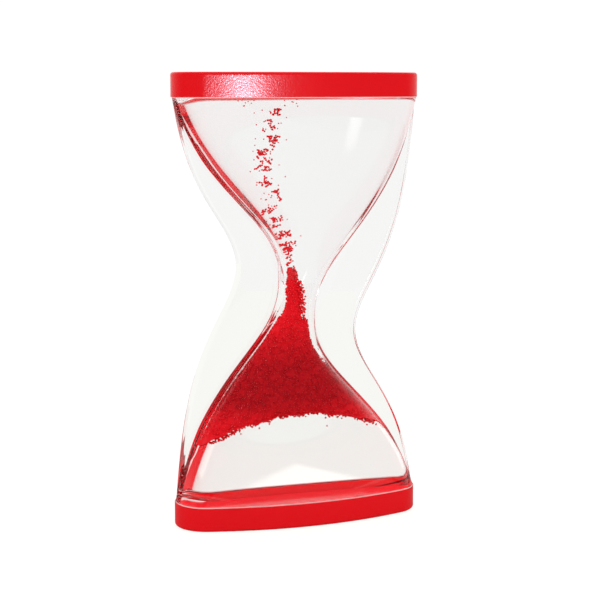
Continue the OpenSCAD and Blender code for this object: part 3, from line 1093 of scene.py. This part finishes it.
class TIMER_OT_ceiling(bpy.types.Operator):
    """Lays the first beads under the upper closure, with a few strays around the stream's end"""

    bl_idname = "timer.ceiling"
    bl_label = "Ceiling beads"

    def execute(self, context):
        sizes = context.scene.timer_sizes
        beads = context.scene.timer_beads
        material = bead_plastic(context.scene.timer_colours)
        stream = [
            (spot, rise) for arms, strays, rise in stream_places(sizes, beads) for spot in arms + strays
        ]
        room = beads.stream_bead * LARGEST_BEAD
        low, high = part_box("ceiling_beads")
        middle = (low + high) / 2
        radius = (high.x - low.x) / 2
        rng = random.Random(CEILING_SEED)
        places = []
        while len(places) < beads.ceiling_beads:
            turn = rng.uniform(0, 2 * math.pi)
            reach = radius * math.sqrt(rng.random())
            z = high.z - beads.bead * LAYERS[rng.random() >= FIRST_LAYER]
            place = Vector((middle.x + reach * math.cos(turn), reach * math.sin(turn), z))
            if not meets(place, 0.0, stream, room):
                places.append(place)
        strays = []
        while len(strays) < beads.stray_beads:
            x = middle.x + rng.uniform(*SINGLE_ACROSS) * radius
            y = rng.uniform(*SINGLE_DEEP) * radius
            place = Vector((x, y, high.z - rng.uniform(*SINGLE_DROP) * MM))
            if not meets(place, 0.0, stream, room):
                strays.append(place)
        bm = bmesh.new()
        scatter_beads(bm, places, beads.bead, rng)
        scatter_beads(bm, strays, beads.stray_bead, rng)
        add_piece("ceiling_raft", bm, [material], "timer", ["ceiling_beads"])
        return {"FINISHED"}


class TIMER_OT_stage(bpy.types.Operator):
    """Sets up the pale floor, the soft light and the camera"""

    bl_idname = "timer.stage"
    bl_label = "Stage"

    def execute(self, context):
        scene = context.scene
        scene.view_settings.view_transform = "Standard"
        # Light is mirrored many times inside the thick clear walls; with fewer bounces their edges go black
        scene.cycles.max_bounces = 32
        scene.cycles.glossy_bounces = 16
        scene.cycles.transmission_bounces = 32
        self.add_floor(scene)
        self.add_world(scene)
        self.add_lamps(scene)
        self.add_glows(scene)
        camera = bpy.data.objects.new("camera", bpy.data.cameras.new("camera"))
        camera.data.lens = CAMERA_LENS
        camera.data.sensor_width = 36.0
        camera.data.clip_start = 0.01
        look = Vector((
            math.sin(CAMERA_TURN) * math.cos(CAMERA_PITCH),
            math.cos(CAMERA_TURN) * math.cos(CAMERA_PITCH),
            -math.sin(CAMERA_PITCH),
        ))
        camera.location = CAMERA_PLACE
        camera.rotation_euler = look.to_track_quat("-Z", "Y").to_euler()
        scene.collection.objects.link(camera)
        scene.camera = camera
        return {"FINISHED"}

    def add_floor(self, scene):
        """A wide pale floor that shows white to the camera and still takes the shadow."""
        bm = bmesh.new()
        bmesh.ops.create_circle(bm, cap_ends=True, segments=96, radius=FLOOR_RADIUS)
        bmesh.ops.translate(bm, verts=bm.verts, vec=(0, 0, -FLOOR_DROP))
        mesh = bpy.data.meshes.new("floor")
        bm.to_mesh(mesh)
        bm.free()
        material, tree, where = start_material("paper_backdrop")
        colours = scene.timer_colours
        fibre = add(tree, "ShaderNodeTexNoise", {"Vector": where, "Scale": per_mm(2.0), "Detail": 2.0})
        relief = add(tree, "ShaderNodeBump", {"Height": fibre, "Strength": 0.05, "Distance": 0.1 * MM})
        paper = add(tree, "ShaderNodeBsdfDiffuse", {"Color": colours.floor, "Normal": relief})
        path = add(tree, "ShaderNodeLightPath").outputs
        camera, glossy, through = (path[f"Is {kind} Ray"] for kind in ("Camera", "Glossy", "Transmission"))
        level = add(tree, "ShaderNodeMix", {0: glossy, 2: 1.1, 3: 0.1})
        # Painted light: through the clear body the floor's glow is raised in a pointed pool where the body
        # would focus light on it as a lens
        painted_pool = add(tree, "ShaderNodeMapping", {
            "Vector": where, "Location": PAINTED_POOL_PLACE, "Rotation": (0.0, 0.0, PAINTED_POOL_TURN),
            "Scale": PAINTED_POOL_SIZE,
        }, vector_type="TEXTURE")
        off = add(tree, "ShaderNodeVectorMath", {0: painted_pool}, operation="ABSOLUTE")
        reach = add(tree, "ShaderNodeVectorMath", {0: off, 1: (1.0, 1.0, 0.0)}, operation="DOT_PRODUCT")
        bright = add(tree, "ShaderNodeMapRange", {
            "Value": reach, "From Min": 1.12, "From Max": 0.9, "To Min": 0.96, "To Max": 1.15,
        }, interpolation_type="SMOOTHSTEP")
        level = add(tree, "ShaderNodeMix", {0: through, 2: level, 3: bright})
        glow = add(tree, "ShaderNodeEmission", {"Color": colours.backlight, "Strength": level})
        seen = add(tree, "ShaderNodeMath", {0: camera, 1: glossy}, operation="MAXIMUM")
        part = add(tree, "ShaderNodeMath", {0: seen, 1: 0.75}, operation="MULTIPLY")
        part = add(tree, "ShaderNodeMix", {0: through, 2: part, 3: 0.95})
        mixed = add(tree, "ShaderNodeMixShader", {0: part, 1: paper, 2: glow})
        add(tree, "ShaderNodeOutputMaterial", {"Surface": mixed})
        mesh.materials.append(material)
        floor = bpy.data.objects.new("floor", mesh)
        scene.collection.objects.link(floor)

    def add_world(self, scene):
        """White behind the object and through the clear body; dark behind the camera for gloss."""
        world = bpy.data.worlds.new("studio")
        scene.world = world
        world.use_nodes = True
        tree = world.node_tree
        tree.nodes.clear()
        where = add(tree, "ShaderNodeTexCoord").outputs["Generated"]
        ahead = (math.sin(CAMERA_TURN), math.cos(CAMERA_TURN), 0.0)
        facing = add(tree, "ShaderNodeVectorMath", {0: where, 1: ahead}, operation="DOT_PRODUCT")
        through = add(tree, "ShaderNodeMapRange", {
            "Value": facing, "From Min": -0.3, "From Max": 0.7, "To Min": 0.92, "To Max": 0.965,
        }, interpolation_type="SMOOTHSTEP")
        mirrored = add(tree, "ShaderNodeMapRange", {
            "Value": facing, "From Min": -0.3, "From Max": 0.5, "To Min": 0.03, "To Max": 1.0,
        }, interpolation_type="SMOOTHSTEP")
        path = add(tree, "ShaderNodeLightPath").outputs
        level = add(tree, "ShaderNodeMix", {0: path["Is Glossy Ray"], 2: 1.02, 3: mirrored})
        level = add(tree, "ShaderNodeMix", {0: path["Is Transmission Ray"], 2: level, 3: through})
        level = add(tree, "ShaderNodeMath", {0: level, 1: path["Is Camera Ray"]}, operation="MAXIMUM")
        sky = add(tree, "ShaderNodeBackground", {"Color": (1.0, 1.0, 1.0, 1.0), "Strength": level})
        add(tree, "ShaderNodeOutputWorld", {"Surface": sky})

    def add_lamps(self, scene):
        """A soft box that only the upper cap mirrors, a narrow one seen through the body, a broad one above,
        and one for what lies in the caps' recesses, which would be left in the shade. The first stays below
        the cap's flat top and off its ends, which would mirror it as a white glare in views from behind."""
        kinds = "closure", "gasket", "fill_plug"
        recessed = [f"{end}_{kind}" for end in ("top", "base") for kind in kinds]
        # Name, turn and rise in degrees, distance, size, power, rays that see it and pieces it lights
        boxes = (
            ("cap_box", -6.0, -0.7, 0.9, (0.17, 0.17), 54.0, "glossy", ["top_cap"]),
            ("streak_box", -15.0, 19.0, 0.9, (0.14, 0.4), 0.7, "transmission", []),
            ("top_box", -30.0, 70.0, 1.0, (0.9, 0.9), 2.4, "diffuse", []),
            ("recess_box", -20.0, 35.0, 0.8, (0.4, 0.4), 3.2, "diffuse", recessed),
        )
        target = Vector((0, 0, scene.timer_sizes.overall_height / 2))
        for name, turn, rise, far, size, power, seen_by, lit in boxes:
            box = self.add_lamp(scene, name, size, power, lit)
            if seen_by != "diffuse":
                self.fade_edges(box.data, seen_by == "glossy")
            turn, rise = math.radians(turn), math.radians(rise)
            flat = math.cos(rise)
            away = Vector((math.sin(turn) * flat, -math.cos(turn) * flat, math.sin(rise)))
            box.location = target + away * far
            box.rotation_euler = (-away).to_track_quat("-Z", "Y").to_euler()
            for kind in ("diffuse", "glossy", "transmission"):
                setattr(box, f"visible_{kind}", kind == seen_by)
        bpy.data.lights["cap_box"].color = MIRROR_TINT

    def add_glows(self, scene):
        """Two dim lamps for the light that the clear walls carry into the caps and that isn't traced."""
        high = scene.timer_sizes.overall_height - GLOW_LEVEL
        for end, z, turn in (("base", GLOW_LEVEL, 0.0), ("top", high, math.pi)):
            glow = self.add_lamp(scene, f"{end}_glow", GLOW_SIZE, GLOW_POWER, [f"{end}_cap"])
            glow.location.z = z
            glow.rotation_euler.x = turn
            glow.visible_camera = False
            glow.visible_glossy = False
            glow.visible_transmission = False

    def add_lamp(self, scene, name, size, power, lit):
        """An area lamp that lights the pieces named, or everything if none is."""
        lamp = bpy.data.lights.new(name, "AREA")
        lamp.shape = "RECTANGLE"
        lamp.size, lamp.size_y = size
        lamp.energy = power
        box = bpy.data.objects.new(name, lamp)
        scene.collection.objects.link(box)
        if lit:
            pieces = bpy.data.collections.new(name)
            for node in lit:
                pieces.objects.link(frame["nodes"][node])
            box.light_linking.receiver_collection = pieces
        return box

    def fade_edges(self, lamp, off_ends):
        """Lets a soft box grow dimmer towards its edges, so that its mirror image has no hard outline.
        It can also leave out what lies at the part's left-hand and right-hand ends."""
        lamp.use_nodes = True
        tree = lamp.node_tree
        tree.nodes.clear()
        place = add(tree, "ShaderNodeNewGeometry").outputs
        there = add(tree, "ShaderNodeSeparateXYZ", {"Vector": place["Parametric"]}).outputs
        level = 1.0
        if off_ends:
            # The place that the lamp lights lies at the ray's other end
            far = add(tree, "ShaderNodeLightPath").outputs["Ray Length"]
            lit = add(tree, "ShaderNodeVectorMath", {
                0: place["Incoming"], 1: far, 2: place["Position"],
            }, operation="MULTIPLY_ADD")
            lit = add(tree, "ShaderNodeSeparateXYZ", {"Vector": lit}).outputs["X"]
            lit = add(tree, "ShaderNodeMath", {0: lit}, operation="ABSOLUTE")
            level = add(tree, "ShaderNodeMapRange", {
                "Value": lit, "From Min": MIRROR_END, "From Max": MIRROR_FULL,
            })
        for axis in ("X", "Y"):
            # 4 x (1 - x) is 1 in the middle and 0 at both edges
            back = add(tree, "ShaderNodeMath", {0: 1.0, 1: there[axis]}, operation="SUBTRACT")
            hill = add(tree, "ShaderNodeMath", {0: there[axis], 1: back}, operation="MULTIPLY")
            grown = add(tree, "ShaderNodeMath", {0: hill, 1: 4.0}, operation="MULTIPLY")
            level = add(tree, "ShaderNodeMath", {0: grown, 1: level}, operation="MULTIPLY")
        glow = add(tree, "ShaderNodeEmission", {"Color": (1.0, 1.0, 1.0, 1.0), "Strength": level})
        add(tree, "ShaderNodeOutputLight", {"Surface": glow})


class VIEW3D_PT_timer(bpy.types.Panel):
    """Lists the timer's pieces and its sizes"""

    bl_idname = "VIEW3D_PT_timer"
    bl_label = "Liquid timer"
    bl_space_type = "VIEW_3D"
    bl_region_type = "UI"
    bl_category = "Timer"

    def draw(self, context):
        for operator in OPERATORS:
            self.layout.operator(operator.bl_idname)
        for group in (context.scene.timer_sizes, context.scene.timer_beads, context.scene.timer_colours):
            box = self.layout.box()
            for name in group.__annotations__:
                box.prop(group, name)


OPERATORS = (
    TIMER_OT_clear_body,
    TIMER_OT_liquid,
    TIMER_OT_caps,
    TIMER_OT_bead_pack,
    TIMER_OT_tongue,
    TIMER_OT_stream,
    TIMER_OT_ceiling,
    TIMER_OT_stage,
)
GROUPS = {"timer_sizes": TimerSizes, "timer_beads": BeadSizes, "timer_colours": TimerColours}


def register():
    for group in GROUPS.values():
        bpy.utils.register_class(group)
    for name, group in GROUPS.items():
        setattr(bpy.types.Scene, name, bpy.props.PointerProperty(type=group))
    for operator in OPERATORS:
        bpy.utils.register_class(operator)
    bpy.utils.register_class(VIEW3D_PT_timer)


def unregister():
    bpy.utils.unregister_class(VIEW3D_PT_timer)
    for operator in reversed(OPERATORS):
        bpy.utils.unregister_class(operator)
    for name in GROUPS:
        delattr(bpy.types.Scene, name)
    for group in reversed(GROUPS.values()):
        bpy.utils.unregister_class(group)


def main():
    register()
    bpy.ops.timer.stage()
    bpy.ops.timer.clear_body()
    bpy.ops.timer.liquid()
    bpy.ops.timer.caps()
    bpy.ops.timer.bead_pack()
    bpy.ops.timer.tongue()
    bpy.ops.timer.stream()
    bpy.ops.timer.ceiling()


if __name__ == "__main__":
    main()
